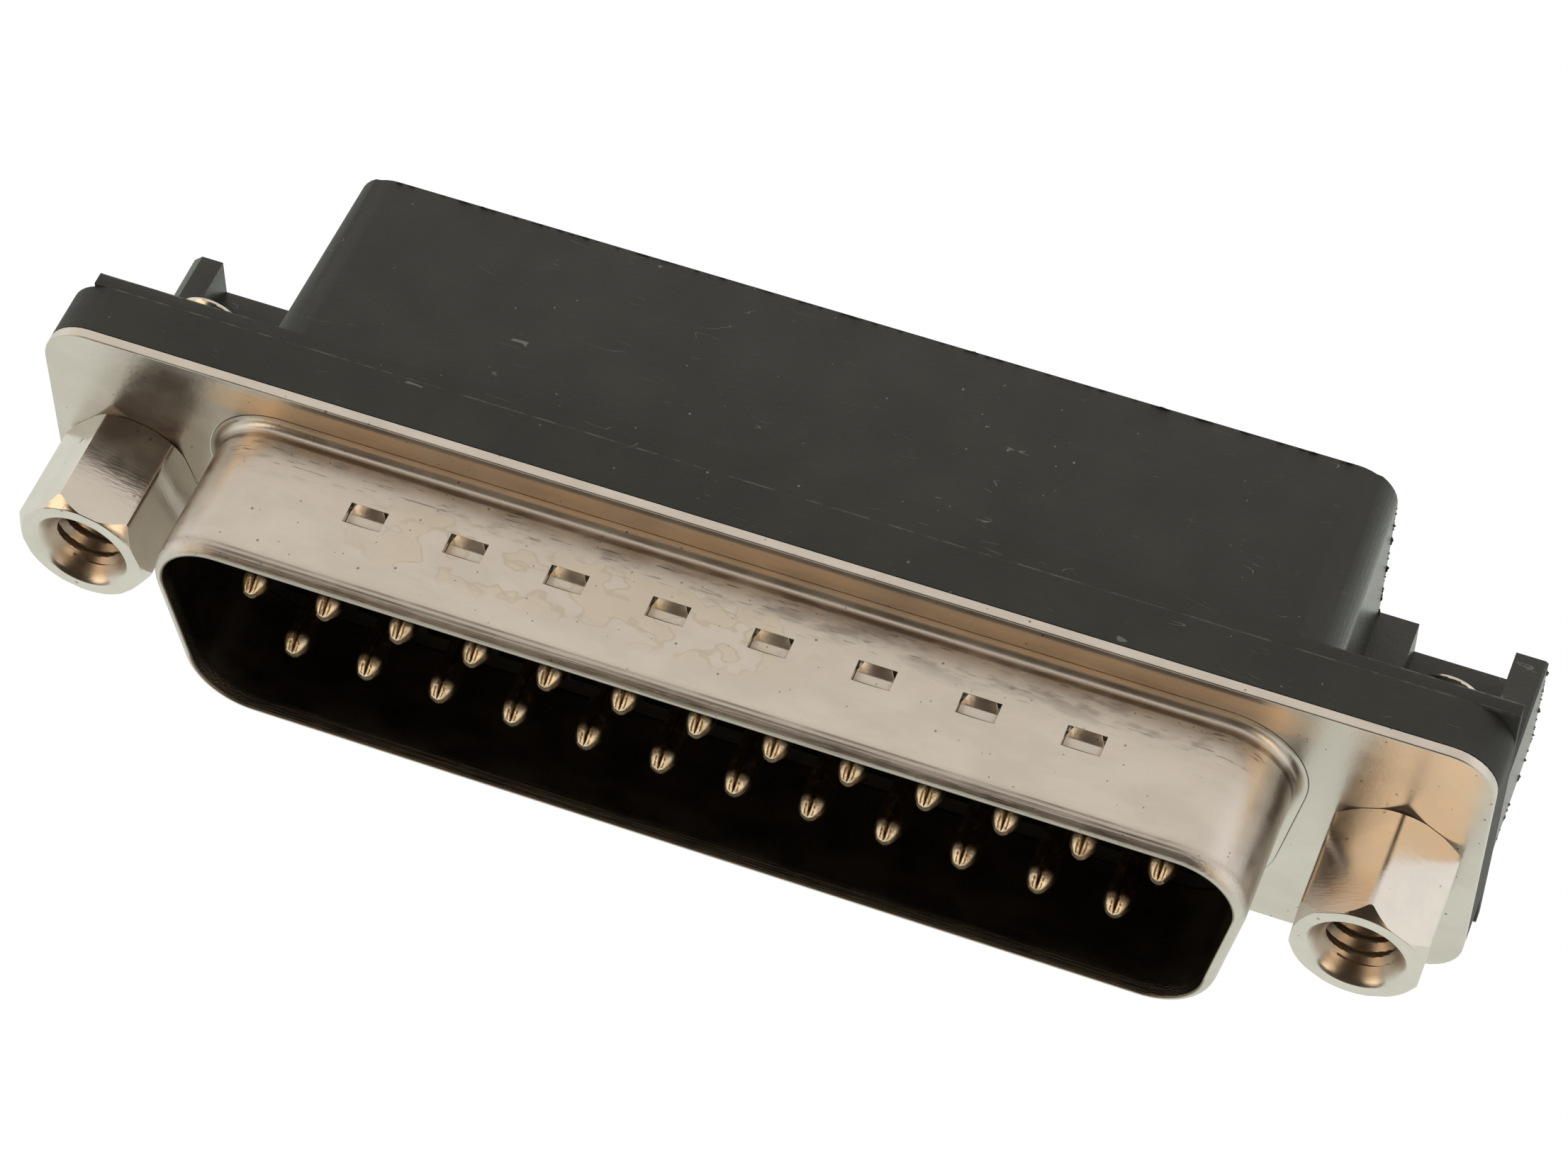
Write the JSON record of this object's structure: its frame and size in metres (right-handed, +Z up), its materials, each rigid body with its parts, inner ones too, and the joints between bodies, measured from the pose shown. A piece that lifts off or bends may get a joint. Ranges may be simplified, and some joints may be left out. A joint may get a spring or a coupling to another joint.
{
  "type": "d-sub connector",
  "caption": "Right-angle D-sub pin connector for a circuit board, with a drawn steel shell, black insulator and hood, two rows of contacts and two hex jackscrews.",
  "frame": {"origin": "On the board's top face, midway between the two board screw holes.", "axes": "+X to the right seen from the mating side, +Y toward the rear of the hood, +Z up from the board. The mating side faces -Y."},
  "size_m": [0.053, 0.0166, 0.0158],
  "materials": {
    "plated_steel": "dull nickel or tin plate on drawn steel, slightly tarnished",
    "black_plastic": "moulded glass-filled thermoplastic, fine grain",
    "nickel_plate": "satin nickel plate on turned steel",
    "insert_brass": "turned brass, dull",
    "contact_gold": "thin gold flash over nickel on the pins"
  },
  "bodies": {
    "root": {"front_shell": "plated_steel", "front_insulator": "black_plastic", "rear_housing": "black_plastic", "tail_spacer": "black_plastic", "jackscrew_left": "nickel_plate", "jackscrew_right": "nickel_plate", "insert_left": "insert_brass", "insert_right": "insert_brass", "contact_1": "contact_gold", "contact_2": "contact_gold", "contact_3": "contact_gold", "contact_4": "contact_gold", "contact_5": "contact_gold", "contact_6": "contact_gold", "contact_7": "contact_gold", "contact_8": "contact_gold", "contact_9": "contact_gold", "contact_10": "contact_gold", "contact_11": "contact_gold", "contact_12": "contact_gold", "contact_13": "contact_gold", "contact_14": "contact_gold", "contact_15": "contact_gold", "contact_16": "contact_gold", "contact_17": "contact_gold", "contact_18": "contact_gold", "contact_19": "contact_gold", "contact_20": "contact_gold", "contact_21": "contact_gold", "contact_22": "contact_gold", "contact_23": "contact_gold", "contact_24": "contact_gold", "contact_25": "contact_gold"}
  },
  "joints": []
}
